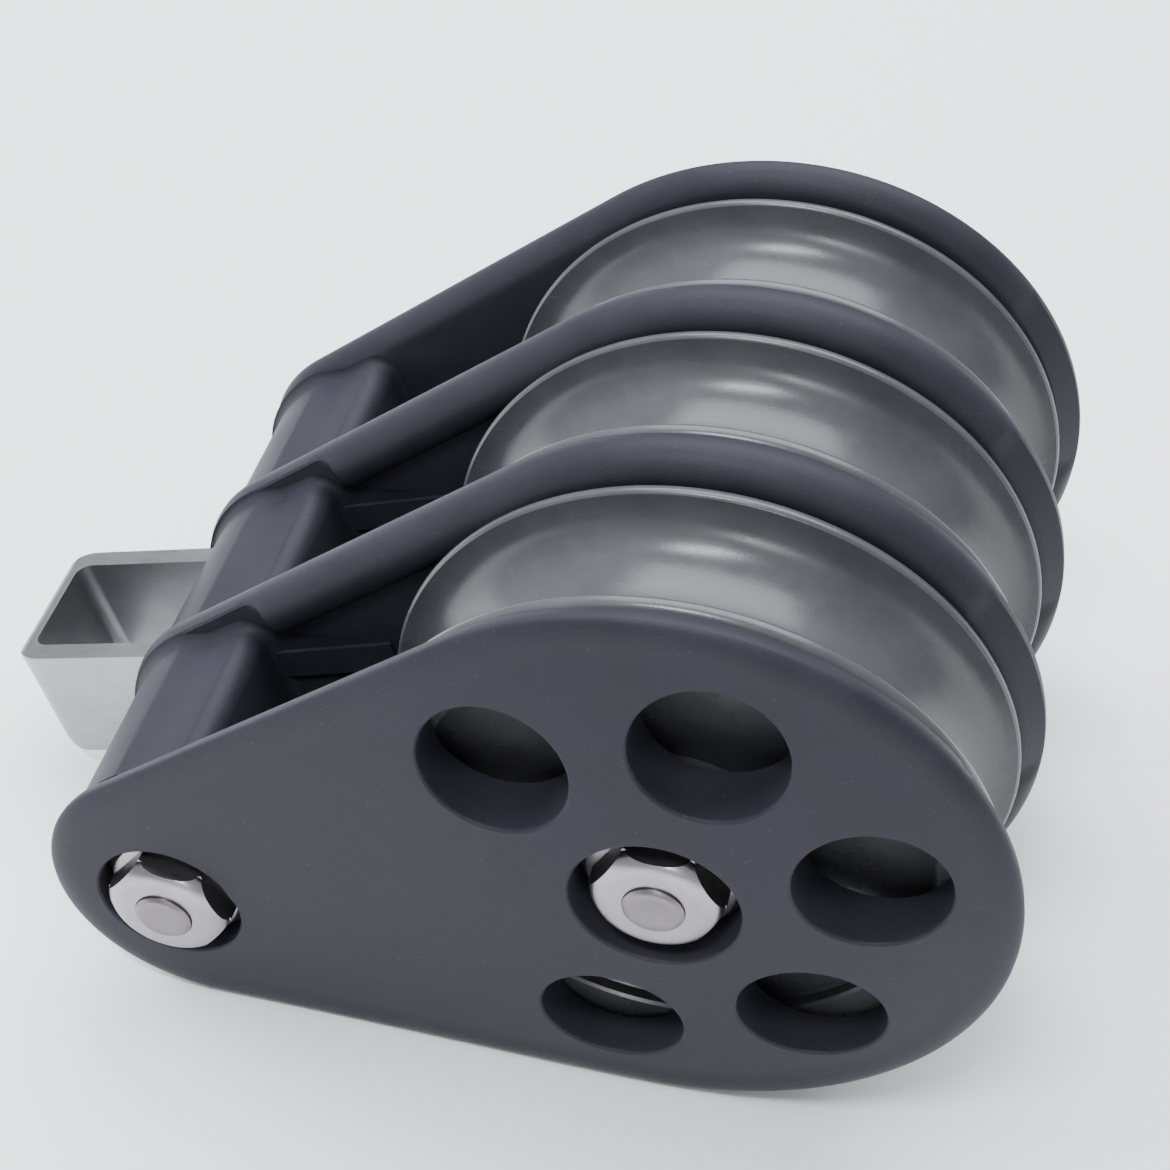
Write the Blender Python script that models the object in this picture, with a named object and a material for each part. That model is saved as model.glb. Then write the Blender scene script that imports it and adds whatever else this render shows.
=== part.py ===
"""Triple sheave block with a fixed steel eye, for 12 mm rope.

Built as it comes apart on a bench: two cheeks, two dividers, three sheaves on
steel sleeves, two through bolts with thin domed nuts, three head spacers and a
bent steel eye strap.

The block is modelled along its own axes and hung on the empty "block":
  X  along the block, from the head pin towards the round end
  Y  along the axle, the near side at -Y
  Z  across the block; the axle is at the origin
The empty tips the block onto the straight lower edges of its four plates, so
those edges lie on the ground plane.
"""
import math

import bmesh
import bpy
from mathutils import Matrix, Vector

MM = 0.001

# ---- driving dimensions -------------------------------------------------
# sheaves; all the rest is laid out round them
SHEAVE_RADIUS = 27.5 * MM
SHEAVE_HALF_WIDTH = 7.3 * MM
FLANGE_LAND = 1.4 * MM          # groove edge to the side of each flange
FLANGE_CHAMFER = 0.9 * MM
GROOVE_DEPTH = 5.0 * MM
GROOVE_LIP = 0.25 * MM          # groove starts this far under the flange tops
SIDE_RECESS_DEPTH = 1.6 * MM
FLANGE_DEPTH = 5.5 * MM         # from the flange top down to the side recess
SHEAVE_HUB_WALL = 2.7 * MM
BUSH_WALL = 1.3 * MM
SLEEVE_WALL = 1.7 * MM

# plates, shared by cheeks and dividers
RIM_COVER = 1.7 * MM            # plates stand out past the sheaves by this
HEAD_RADIUS = 14.4 * MM         # outline round the head
HEAD_SET_BACK = 4.7 * MM        # back of the head spacers to the centre of the head arc
HEAD_PIN_OFFSET = 3.1 * MM      # centre of the head arc to the head bolt
RIM_HALF = 2.5 * MM             # round bar along the edge of a plate
WEB_HALF = 1.1 * MM             # sheet inside the bar of a divider
HUB_HALF = 2.2 * MM             # divider boss that the axle sleeves butt on
HUB_SHOULDER = 4.0 * MM         # boss past the sleeve
RIM_STEP_LENGTH = 1.0 * MM      # the bar thins for the head spacers over this length
FRONT_RELIEF_ANGLE = math.radians(20)   # rim is chamfered this far each side of the front
FRONT_RELIEF_RUNOUT = math.radians(1.5)
FRONT_RELIEF_LAND = 0.5 * MM
FRONT_RELIEF_SLOPE = 0.95

# cheeks
CHEEK_APEX = 3.4 * MM           # middle plane of a cheek to the top of its domed face
CHEEK_INNER = 2.4 * MM          # middle plane to the flat inner face
CHEEK_EDGE_ROUND = 2.4 * MM
DOME_FALL_ACROSS = 3.02 * MM    # fall of the face from apex to outline, across the block
DOME_FALL_ALONG = 2.32 * MM     # the same along the block
DOME_HEAD_FALL = 2.2 * MM       # most that the face falls towards the head
HOLE_EDGE_LAND = 4.9 * MM       # between the round holes and the outline
HOLE_POCKET_LAND = 4.5 * MM     # between the round holes and the axle pocket
HOLE_PITCH = math.radians(60)
HOLE_COUNT = 5                  # the sixth place, towards the head, stays solid

# bolts, nuts and washers
BOLT_RADIUS = 3.0 * MM          # M6
BOLT_TIP_CHAMFER = 0.6 * MM
BOLT_TIP_STANDOUT = 0.5 * MM
NUT_WALL = 2.0 * MM             # thread to a flat of the hexagon
HEX_DOME = 1.5 * MM             # height of the rounded end of a hexagon
HEX_CROWN_LAND = 0.4 * MM       # flat ring round the bolt on top of the dome
HEX_CORNER_CUT = 0.15 * MM
AXLE_HEX_HEIGHT = 3.2 * MM
HEAD_HEX_HEIGHT = 2.9 * MM
AXLE_HEX_TURN = math.radians(-18)
HEAD_HEX_TURN = math.radians(-26)
WASHER_THICK = 0.7 * MM
WASHER_ROOM = 0.7 * MM          # washer to the pocket wall
AXLE_POCKET_ROOM = 1.4 * MM     # hexagon corner to the pocket wall
HEAD_POCKET_ROOM = 0.9 * MM
AXLE_POCKET_FLOOR = 1.3 * MM    # cheek left under the washers
HEAD_POCKET_FLOOR = 0.9 * MM

# head spacers
ROPE_WAY = 11.5 * MM            # sheave to the back of the head spacers
SPACER_SET_IN = 1.0 * MM        # spacers lie this far inside the plates' head
SPACER_CORNER_RISE = 0.5 * MM   # corners stand higher than the round head
SPACER_CORNER_ROUND = 2.0 * MM
SPACER_RIDGE_ANGLE = math.radians(106)

# eye strap
STRAP_WIDTH = 13.0 * MM
STRAP_RISE = 0.9 * MM           # middle of the strap above the head bolt
STRAP_TILT = math.radians(4)    # clamped this far above the block's centre line
STRAP_THICK = 2.0 * MM
STRAP_SIDE_WALL = 1.0 * MM      # spacer left outside each leg
STRAP_BACK_WALL = 1.9 * MM      # spacer left behind each leg
EYE_REACH = 25.2 * MM           # head bolt to the outside of the bend
BEND_RADIUS = 3.4 * MM          # outside of each bend
UPPER_CORNER_ROUND = 1.6 * MM
LOWER_CORNER_ROUND = 6.0 * MM
INNER_CORNER_ROUND = 3.0 * MM

# fits
GAP = 0.3 * MM                  # between pieces that touch
HOLE_CLEARANCE = 0.3 * MM
SHEAVE_SIDE_CLEARANCE = 0.5 * MM
CUT_MARGIN = 1.0 * MM           # cutting tools run past the surface by this

# ---- derived sizes ------------------------------------------------------
BOLT_HOLE = BOLT_RADIUS + HOLE_CLEARANCE
SLEEVE_RADIUS = BOLT_HOLE + SLEEVE_WALL
BUSH_BORE = SLEEVE_RADIUS + HOLE_CLEARANCE
BUSH_RADIUS = BUSH_BORE + BUSH_WALL
SHEAVE_BORE = BUSH_RADIUS + GAP
SIDE_RECESS_INNER = SHEAVE_BORE + SHEAVE_HUB_WALL
SIDE_RECESS_OUTER = SHEAVE_RADIUS - FLANGE_DEPTH

ROUND_RADIUS = SHEAVE_RADIUS + RIM_COVER
SPACER_BACK = SHEAVE_RADIUS + ROPE_WAY
HEAD_ARC_REACH = SPACER_BACK + HEAD_SET_BACK
HEAD_PIN_REACH = HEAD_ARC_REACH + HEAD_PIN_OFFSET
TANGENT_TILT = math.asin((ROUND_RADIUS - HEAD_RADIUS) / HEAD_ARC_REACH)
RIM_STEP_REACH = SPACER_BACK - GAP - RIM_STEP_LENGTH
PLATE_PITCH = 2 * (SHEAVE_HALF_WIDTH + SHEAVE_SIDE_CLEARANCE + RIM_HALF)
CHEEK_MIDDLE = 1.5 * PLATE_PITCH
DIVIDER_MIDDLE = 0.5 * PLATE_PITCH
CHEEK_INNER_FACE = CHEEK_MIDDLE - CHEEK_INNER
CHEEK_TOP = CHEEK_MIDDLE + CHEEK_APEX
HUB_RADIUS = SLEEVE_RADIUS + HUB_SHOULDER

HEX_FLATS = 2 * (BOLT_RADIUS + NUT_WALL)
HEX_CORNER = HEX_FLATS / math.sqrt(3)
HEX_CROWN = BOLT_HOLE + HEX_CROWN_LAND
AXLE_POCKET_RADIUS = HEX_CORNER + AXLE_POCKET_ROOM
HEAD_POCKET_RADIUS = HEX_CORNER + HEAD_POCKET_ROOM
AXLE_FLOOR = CHEEK_INNER_FACE + AXLE_POCKET_FLOOR
HEAD_FLOOR = CHEEK_INNER_FACE + HEAD_POCKET_FLOOR
HOLE_RADIUS = (ROUND_RADIUS - HOLE_EDGE_LAND - HOLE_POCKET_LAND - AXLE_POCKET_RADIUS) / 2
HOLE_CIRCLE = ROUND_RADIUS - HOLE_EDGE_LAND - HOLE_RADIUS

SPACER_RADIUS = HEAD_RADIUS - SPACER_SET_IN
SPACER_CORNER_HEIGHT = SPACER_RADIUS + SPACER_CORNER_RISE
LEG_OUTER = DIVIDER_MIDDLE - WEB_HALF - GAP - STRAP_SIDE_WALL
LEG_INNER = LEG_OUTER - STRAP_THICK
STRAP_HEAD_REACH = HEAD_PIN_REACH - SPACER_BACK - STRAP_BACK_WALL - GAP

BAYS = (("near", -PLATE_PITCH), ("middle", 0.0), ("far", PLATE_PITCH))
SIDES = (("near", -1), ("far", 1))

ROUND_STEPS = 20
HEAD_STEPS = 8
SHEAVE_STEPS = 32
GROOVE_STEPS = 6
TURN_STEPS = 24
SPACER_STEPS = 14


# ---- scene, materials and object helpers --------------------------------
def clear_scene():
    for obj in list(bpy.data.objects):
        bpy.data.objects.remove(obj, do_unlink=True)


def material(name, colour, roughness, metallic=0.0):
    made = bpy.data.materials.new(name)
    made.use_nodes = True
    shader = made.node_tree.nodes["Principled BSDF"]
    shader.inputs["Base Color"].default_value = (*colour, 1.0)
    shader.inputs["Roughness"].default_value = roughness
    shader.inputs["Metallic"].default_value = metallic
    made.diffuse_color = (*colour, 1.0)
    return made


def make_object(name, mesh_data, finish, parent, place=(0, 0, 0), turn=0.0):
    """Finish a bmesh as a named object; turn is about the Y axis."""
    bmesh.ops.recalc_face_normals(mesh_data, faces=mesh_data.faces)
    mesh = bpy.data.meshes.new(name)
    mesh_data.to_mesh(mesh)
    mesh_data.free()
    mesh.shade_smooth()
    mesh.set_sharp_from_angle(angle=math.radians(35))
    mesh.materials.append(finish)
    obj = bpy.data.objects.new(name, mesh)
    bpy.context.scene.collection.objects.link(obj)
    obj.parent = parent
    obj.location = place
    obj.rotation_euler = (0.0, turn, 0.0)
    return obj


def as_tool(obj):
    obj.hide_render = True
    obj.display_type = "WIRE"
    return obj


def combine(target, tool, operation):
    step = target.modifiers.new(operation.lower(), "BOOLEAN")
    step.operation = operation
    step.solver = "EXACT"
    step.object = as_tool(tool)


# ---- shapes -------------------------------------------------------------
def turned(profile, steps=TURN_STEPS):
    """Solid of revolution about Y from a closed (radius, y) profile."""
    mesh_data = bmesh.new()
    rings = []
    for step in range(steps):
        angle = 2 * math.pi * step / steps
        rings.append([
            mesh_data.verts.new((radius * math.cos(angle), y, radius * math.sin(angle)))
            for radius, y in profile
        ])
    count = len(profile)
    for step in range(steps):
        here, there = rings[step], rings[(step + 1) % steps]
        for k in range(count):
            after = (k + 1) % count
            mesh_data.faces.new((here[k], here[after], there[after], there[k]))
    return mesh_data


def rod(*rings, steps=TURN_STEPS):
    """Solid bar along Y through (radius, y) rings, with flat ends."""
    mesh_data = bmesh.new()
    made = [
        [mesh_data.verts.new((radius * math.cos(angle), y, radius * math.sin(angle)))
         for angle in (2 * math.pi * (step + 0.5) / steps for step in range(steps))]
        for radius, y in rings
    ]
    mesh_data.faces.new(made[0])
    mesh_data.faces.new(made[-1])
    for here, there in zip(made, made[1:]):
        for k in range(steps):
            after = (k + 1) % steps
            mesh_data.faces.new((here[k], here[after], there[after], there[k]))
    return mesh_data


def extruded(outline, low, high):
    """Prism along Y from an (x, z) outline."""
    mesh_data = bmesh.new()
    lower = [mesh_data.verts.new((x, low, z)) for x, z in outline]
    upper = [mesh_data.verts.new((x, high, z)) for x, z in outline]
    mesh_data.faces.new(lower)
    mesh_data.faces.new(upper)
    for k in range(len(outline)):
        after = (k + 1) % len(outline)
        mesh_data.faces.new((lower[k], lower[after], upper[after], upper[k]))
    return mesh_data


def arc(centre_x, centre_z, radius, start, end, steps):
    return [
        (centre_x + radius * math.cos(start + (end - start) * k / steps),
         centre_z + radius * math.sin(start + (end - start) * k / steps))
        for k in range(steps + 1)
    ]


class Station:
    """One place round a plate's outline, from which its section is drawn."""

    def __init__(self, centre, angle, thin=0.0, relief=0.0):
        self.centre = Vector(centre)
        self.out = Vector((math.cos(angle), math.sin(angle)))
        self.thin = thin            # 1 where the bar is thinned for the spacers
        self.relief = relief        # 1 where the front of the rim is chamfered

    def at(self, inset):
        """Outline radius blends linearly along the straight edges."""
        reach = -self.centre.x / HEAD_ARC_REACH
        radius = ROUND_RADIUS + (HEAD_RADIUS - ROUND_RADIUS) * reach
        return self.centre + self.out * (radius - inset)


def plate_stations():
    """Stations anticlockwise: round end, upper edge, head, lower edge."""
    turn = math.pi / 2 + TANGENT_TILT
    stations = []
    angles = [-turn + 2 * turn * k / ROUND_STEPS for k in range(ROUND_STEPS + 1)]
    spare = math.radians(4)
    angles = [a for a in angles if abs(abs(a) - FRONT_RELIEF_ANGLE) > spare]
    for side in (-1, 1):
        angles.append(side * (FRONT_RELIEF_ANGLE + FRONT_RELIEF_RUNOUT))
        angles.append(side * FRONT_RELIEF_ANGLE)
    for angle in sorted(angles):
        relief = 1.0 if abs(angle) <= FRONT_RELIEF_ANGLE + 1e-6 else 0.0
        stations.append(Station((0, 0), angle, relief=relief))
    # a point of the edge at RIM_STEP_REACH belongs to this centre on the spine
    drift = math.sin(TANGENT_TILT)
    edge = []
    for reach, thin in ((RIM_STEP_REACH, 0.0), (RIM_STEP_REACH + RIM_STEP_LENGTH, 1.0)):
        slope = 1 - (ROUND_RADIUS - HEAD_RADIUS) / HEAD_ARC_REACH * drift
        edge.append(((reach - ROUND_RADIUS * drift) / slope, thin))
    for along, thin in edge:
        stations.append(Station((-along, 0), turn, thin=thin))
    for k in range(HEAD_STEPS + 1):
        angle = turn + (2 * math.pi - 2 * turn) * k / HEAD_STEPS
        stations.append(Station((-HEAD_ARC_REACH, 0), angle, thin=1.0))
    for along, thin in reversed(edge):
        stations.append(Station((-along, 0), -turn, thin=thin))
    return stations


def bar_depth(station, inset, depth):
    """Limit the bar's bulge where it is thinned or chamfered."""
    if station.relief:
        depth = min(depth, FRONT_RELIEF_LAND + FRONT_RELIEF_SLOPE * inset)
    thin_limit = RIM_HALF + (WEB_HALF - RIM_HALF) * station.thin
    return min(depth, thin_limit)


def lofted(stations, rings, crown=None):
    """Closed shell through rings of points. The first ring is capped flat; the last one
    too, or it closes on the spine of the plate at the height that crown(x) gives."""
    mesh_data = bmesh.new()
    made = [[mesh_data.verts.new(point) for point in ring] for ring in rings]
    count = len(stations)
    mesh_data.faces.new(made[0])
    if crown is None:
        mesh_data.faces.new(made[-1])
    else:
        spine = {}
        for station in stations:
            x = station.centre.x
            if round(x, 7) not in spine:
                spine[round(x, 7)] = mesh_data.verts.new((x, crown(x), 0))
        made.append([spine[round(station.centre.x, 7)] for station in stations])
    for here, there in zip(made, made[1:]):
        for k in range(count):
            after = (k + 1) % count
            corners = [here[k], here[after], there[after], there[k]]
            if there[after] == there[k]:
                corners.pop()
            mesh_data.faces.new(corners)
    return mesh_data


def divider_shell():
    """Sheet with a round bar along its edge."""
    stations = plate_stations()
    web_angle = math.pi - math.asin(WEB_HALF / RIM_HALF)
    quarter = [math.radians(a) for a in (0, 25, 52, 90, 125)] + [web_angle]
    rings = []
    for side in (-1, 1):
        part = []
        for angle in quarter:
            inset = RIM_HALF * (1 - math.cos(angle))
            ring = []
            for station in stations:
                depth = bar_depth(station, inset, RIM_HALF * math.sin(angle))
                x, z = station.at(inset)
                ring.append((x, side * depth, z))
            part.append(ring)
        rings += part[::-1] if side < 0 else part[1:]
    return lofted(stations, rings)


def dome_height(x, z):
    """Height of a cheek's domed face over its middle plane."""
    across = DOME_FALL_ACROSS * (z / ROUND_RADIUS) ** 2
    along = DOME_FALL_ALONG * (x / ROUND_RADIUS) ** 2
    if x < 0:
        along = DOME_HEAD_FALL * (1 - math.exp(-along / DOME_HEAD_FALL))
    return CHEEK_APEX - across - along


def cheek_shell(side):
    """Cheek with a flat inner face, a rounded edge and a domed outer face."""
    stations = plate_stations()
    rings = []
    inner_round = [math.radians(a) for a in (90, 55, 25)]
    for angle in inner_round:
        inset = RIM_HALF * (1 - math.cos(angle))
        ring = []
        for station in stations:
            depth = min(bar_depth(station, inset, RIM_HALF * math.sin(angle)), CHEEK_INNER)
            if station.thin:
                depth = CHEEK_INNER * math.sin(angle)
            x, z = station.at(inset)
            ring.append((x, -side * depth, z))
        rings.append(ring)
    for angle in [math.radians(a) for a in (0, 30, 60, 90)]:
        inset = CHEEK_EDGE_ROUND * (1 - math.cos(angle))
        ring = []
        for station in stations:
            x, z = station.at(inset)
            edge_x, edge_z = station.at(CHEEK_EDGE_ROUND)
            ring.append((x, side * dome_height(edge_x, edge_z) * math.sin(angle), z))
        rings.append(ring)
    for share in (0.33, 0.66):
        ring = []
        for station in stations:
            spot = station.at(CHEEK_EDGE_ROUND).lerp(station.centre, share)
            ring.append((spot.x, side * dome_height(spot.x, spot.y), spot.y))
        rings.append(ring)
    return lofted(stations, rings, crown=lambda x: side * dome_height(x, 0))


def sheave_profile():
    """Closed (radius, y) section of a grooved sheave."""
    half, rim = SHEAVE_HALF_WIDTH, SHEAVE_RADIUS
    groove_half = half - FLANGE_LAND
    groove = []
    for k in range(GROOVE_STEPS + 1):
        across = math.pi * k / GROOVE_STEPS
        sink = GROOVE_DEPTH * max(math.sin(across), 0.0) ** 0.8
        groove.append((rim - GROOVE_LIP - sink, groove_half * math.cos(across)))
    web_half = half - SIDE_RECESS_DEPTH
    side = [
        (SHEAVE_BORE, half), (SIDE_RECESS_INNER, half), (SIDE_RECESS_INNER, web_half),
        (SIDE_RECESS_OUTER, web_half), (SIDE_RECESS_OUTER, half), (rim - FLANGE_CHAMFER, half),
        (rim, half - FLANGE_CHAMFER),
    ]
    return side + groove + [(radius, -y) for radius, y in reversed(side)]


def tube_profile(bore, radius, half):
    return [(bore, -half), (bore, half), (radius, half), (radius, -half)]


def spacer_outline():
    """Head spacer seen along the axle: round head, two upper facets, flat back."""
    centre = -HEAD_ARC_REACH
    ridge = SPACER_RIDGE_ANGLE
    round_part = arc(centre, 0, SPACER_RADIUS, ridge, 2 * math.pi - ridge, SPACER_STEPS)
    corner_x = -SPACER_BACK - SPACER_CORNER_ROUND
    corner_z = SPACER_CORNER_HEIGHT - SPACER_CORNER_ROUND
    lower = arc(corner_x, -corner_z, SPACER_CORNER_ROUND, -math.pi / 2, 0, 3)
    upper = arc(corner_x, corner_z, SPACER_CORNER_ROUND, 0, math.pi / 2, 3)
    return round_part + lower + upper


def strap_side_outline():
    """Eye strap seen along the axle, the head bolt at the origin."""
    low, high = STRAP_RISE - STRAP_WIDTH / 2, STRAP_RISE + STRAP_WIDTH / 2
    low_x = -EYE_REACH + LOWER_CORNER_ROUND
    top_x = -EYE_REACH + UPPER_CORNER_ROUND
    back = STRAP_HEAD_REACH
    inner = INNER_CORNER_ROUND
    points = arc(low_x, low + LOWER_CORNER_ROUND, LOWER_CORNER_ROUND, math.pi, 1.5 * math.pi, 6)
    points += arc(back - inner, low + inner, inner, -math.pi / 2, 0, 3)
    points += arc(back - inner, high - inner, inner, 0, math.pi / 2, 3)
    points += arc(top_x, high - UPPER_CORNER_ROUND, UPPER_CORNER_ROUND, math.pi / 2, math.pi, 3)
    return points


def strap_plan():
    """U of flat bar seen from above, as an (x, y) ring of outer then inner edge."""
    end = STRAP_HEAD_REACH + CUT_MARGIN
    inner_bend = BEND_RADIUS - STRAP_THICK
    plan = [(end, -LEG_OUTER)]
    bend_x = -EYE_REACH + BEND_RADIUS
    bend_y = LEG_OUTER - BEND_RADIUS
    plan += arc(bend_x, -bend_y, BEND_RADIUS, 1.5 * math.pi, math.pi, 4)
    plan += arc(bend_x, bend_y, BEND_RADIUS, math.pi, math.pi / 2, 4)
    plan += [(end, LEG_OUTER), (end, LEG_INNER)]
    plan += arc(bend_x, bend_y, inner_bend, math.pi / 2, math.pi, 4)
    plan += arc(bend_x, -bend_y, inner_bend, math.pi, 1.5 * math.pi, 4)
    plan += [(end, -LEG_INNER)]
    return plan


def raised(outline, low, high):
    """Prism along Z from an (x, y) outline."""
    mesh_data = extruded(outline, low, high)
    for vert in mesh_data.verts:
        vert.co = Vector((vert.co.x, vert.co.z, vert.co.y))
    return mesh_data


def hexagon(turn):
    return [(HEX_CORNER * math.cos(turn + k * math.pi / 3),
             HEX_CORNER * math.sin(turn + k * math.pi / 3)) for k in range(6)]


def dome_envelope(side, base, height):
    """Solid of revolution that rounds the outer end of a hexagon."""
    rings = [(HEX_CORNER + CUT_MARGIN, base), (HEX_CORNER + CUT_MARGIN, base + height / 3)]
    steps = 5
    for k in range(steps + 1):
        angle = math.pi / 2 * k / steps
        radius = HEX_CROWN + (HEX_CORNER - HEX_CORNER_CUT - HEX_CROWN) * math.cos(angle)
        rings.append((radius, base + height - HEX_DOME * (1 - math.sin(angle))))
    return rod(*[(radius, side * y) for radius, y in rings])


# ---- pieces -------------------------------------------------------------
def cut_round(target, parent, radius, low, high, x=0.0, z=0.0):
    tool = make_object(target.name + "_bore", rod((radius, low), (radius, high)),
                       target.data.materials[0], parent, (x, 0, z))
    combine(target, tool, "DIFFERENCE")


def add_cheek(label, side, finish, block):
    middle = side * CHEEK_MIDDLE
    cheek = make_object(label + "_cheek", cheek_shell(side), finish, block, (0, middle, 0))
    outside = side * (CHEEK_TOP + CUT_MARGIN)
    inside = side * (CHEEK_INNER_FACE - CUT_MARGIN)
    for k in range(HOLE_COUNT):
        angle = (k - (HOLE_COUNT - 1) / 2) * HOLE_PITCH
        cut_round(cheek, block, HOLE_RADIUS, inside, outside,
                  HOLE_CIRCLE * math.cos(angle), HOLE_CIRCLE * math.sin(angle))
    cut_round(cheek, block, BOLT_HOLE, inside, outside)
    cut_round(cheek, block, BOLT_HOLE, inside, outside, -HEAD_PIN_REACH)
    cut_round(cheek, block, AXLE_POCKET_RADIUS, side * AXLE_FLOOR, outside)
    cut_round(cheek, block, HEAD_POCKET_RADIUS, side * HEAD_FLOOR, outside, -HEAD_PIN_REACH)


def add_divider(label, side, finish, block):
    middle = side * DIVIDER_MIDDLE
    divider = make_object(label + "_divider", divider_shell(), finish, block, (0, middle, 0))
    boss = make_object(label + "_divider_boss", rod((HUB_RADIUS, -HUB_HALF), (HUB_RADIUS, HUB_HALF)),
                       finish, block, (0, middle, 0))
    combine(divider, boss, "UNION")
    reach = HUB_HALF + CUT_MARGIN
    cut_round(divider, block, BOLT_HOLE, middle - reach, middle + reach)
    cut_round(divider, block, BOLT_HOLE, middle - reach, middle + reach, -HEAD_PIN_REACH)


def bay_ends(label, divider_half):
    """Y of the two walls of a bay, the dividers being divider_half thick each side."""
    if label == "middle":
        reach = DIVIDER_MIDDLE - divider_half
        return -reach, reach
    low, high = DIVIDER_MIDDLE + divider_half, CHEEK_INNER_FACE
    return (-high, -low) if label == "near" else (low, high)


def add_bay(label, middle, finishes, block):
    """Sheave with its bush, and the steel sleeve that they turn on."""
    place = (0, middle, 0)
    make_object("sheave_" + label, turned(sheave_profile(), SHEAVE_STEPS),
                finishes["sheave"], block, place)
    bush = turned(tube_profile(BUSH_BORE, BUSH_RADIUS, SHEAVE_HALF_WIDTH))
    make_object("sheave_bush_" + label, bush, finishes["bush"], block, place)
    low, high = bay_ends(label, HUB_HALF)
    sleeve = turned(tube_profile(BOLT_HOLE, SLEEVE_RADIUS, (high - low) / 2 - GAP))
    make_object("axle_sleeve_" + label, sleeve, finishes["steel"], block,
                (0, (low + high) / 2, 0))


def add_spacer(label, finish, block):
    low, high = bay_ends(label, WEB_HALF)
    spacer = make_object("head_spacer_" + label,
                         extruded(spacer_outline(), low + GAP, high - GAP), finish, block)
    cut_round(spacer, block, BOLT_HOLE, low, high, -HEAD_PIN_REACH)
    if label != "middle":
        return
    back = STRAP_HEAD_REACH + GAP
    reach = STRAP_WIDTH / 2 + GAP
    bottom, top = STRAP_RISE - reach, STRAP_RISE + reach
    slot = [(-EYE_REACH, bottom), (back, bottom), (back, top), (-EYE_REACH, top)]
    for side in (-1, 1):
        low, high = sorted((side * (LEG_INNER - GAP), side * (LEG_OUTER + GAP)))
        tool = make_object("strap_slot", extruded(slot, low, high), finish, block,
                           (-HEAD_PIN_REACH, 0, 0), STRAP_TILT)
        combine(spacer, tool, "DIFFERENCE")


def add_eye_strap(finish, block):
    place = (-HEAD_PIN_REACH, 0, 0)
    reach = LEG_OUTER + CUT_MARGIN
    strap = make_object("eye_strap", raised(strap_plan(), -STRAP_WIDTH, STRAP_WIDTH),
                        finish, block, place, STRAP_TILT)
    side_tool = make_object("strap_side", extruded(strap_side_outline(), -reach, reach),
                            finish, block, place, STRAP_TILT)
    combine(strap, side_tool, "INTERSECT")
    cut_round(strap, block, BOLT_HOLE, -reach, reach, -HEAD_PIN_REACH)


def add_fastener(label, reach, floor, pocket_radius, height, turn, finish, block):
    """Through bolt with a hexagon head at the far side and a thin domed nut."""
    place = (-reach, 0, 0)
    under = floor + GAP
    seat = under + WASHER_THICK + GAP
    top = seat + height
    tip = top + BOLT_TIP_STANDOUT
    washer_radius = pocket_radius - WASHER_ROOM
    for side_name, side in SIDES:
        ends = sorted((side * under, side * (under + WASHER_THICK)))
        ring = turned([(BOLT_HOLE, ends[0]), (BOLT_HOLE, ends[1]),
                       (washer_radius, ends[1]), (washer_radius, ends[0])])
        make_object(f"{label}_washer_{side_name}", ring, finish, block, place)

    nut = make_object(label + "_nut", extruded(hexagon(turn), -top, -seat), finish, block, place)
    nut_dome = make_object(label + "_nut_dome", dome_envelope(-1, seat, height),
                           finish, block, place)
    combine(nut, nut_dome, "INTERSECT")
    cut_round(nut, block, BOLT_HOLE, -tip, -seat + CUT_MARGIN, -reach)

    shank = rod((BOLT_RADIUS - BOLT_TIP_CHAMFER, -tip), (BOLT_RADIUS, -tip + BOLT_TIP_CHAMFER),
                (BOLT_RADIUS, seat + height / 2))
    bolt = make_object(label + "_bolt", shank, finish, block, place)
    head = make_object(label + "_bolt_head", extruded(hexagon(turn), seat, top),
                       finish, block, place)
    head_dome = make_object(label + "_head_dome", dome_envelope(1, seat, height),
                            finish, block, place)
    combine(head, head_dome, "INTERSECT")
    combine(bolt, head, "UNION")


def stand_on_ground(block):
    """Tip the block onto its plates' lower edges, centred over the origin."""
    block.rotation_euler = (0.0, -TANGENT_TILT, 0.0)
    tip_block = Matrix.Rotation(-TANGENT_TILT, 3, "Y")
    tip_strap = Matrix.Rotation(STRAP_TILT, 3, "Y")
    pin = Vector((-HEAD_PIN_REACH, 0, 0))
    strap = [tip_block @ (pin + tip_strap @ Vector((x, 0, z))) for x, z in strap_side_outline()]
    middle = (ROUND_RADIUS + min(corner.x for corner in strap)) / 2
    lowest = min(-ROUND_RADIUS, min(corner.z for corner in strap))
    block.location = (-middle, BOLT_TIP_STANDOUT / 2, -lowest)


def build():
    clear_scene()
    finishes = {
        "plate": material("moulded_slate_plastic", (0.072, 0.078, 0.098), 0.55),
        "sheave": material("sheave_plastic", (0.125, 0.122, 0.122), 0.36),
        "bush": material("bush_plastic", (0.55, 0.54, 0.50), 0.45),
        "steel": material("stainless_steel", (0.63, 0.61, 0.59), 0.24, 1.0),
    }
    block = bpy.data.objects.new("block", None)
    bpy.context.scene.collection.objects.link(block)
    for label, side in SIDES:
        add_cheek(label, side, finishes["plate"], block)
        add_divider(label, side, finishes["plate"], block)
    for label, middle in BAYS:
        add_bay(label, middle, finishes, block)
        add_spacer(label, finishes["plate"], block)
    add_eye_strap(finishes["steel"], block)
    add_fastener("axle", 0.0, AXLE_FLOOR, AXLE_POCKET_RADIUS, AXLE_HEX_HEIGHT, AXLE_HEX_TURN,
                 finishes["steel"], block)
    add_fastener("head", HEAD_PIN_REACH, HEAD_FLOOR, HEAD_POCKET_RADIUS, HEAD_HEX_HEIGHT,
                 HEAD_HEX_TURN, finishes["steel"], block)
    stand_on_ground(block)


build()
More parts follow.
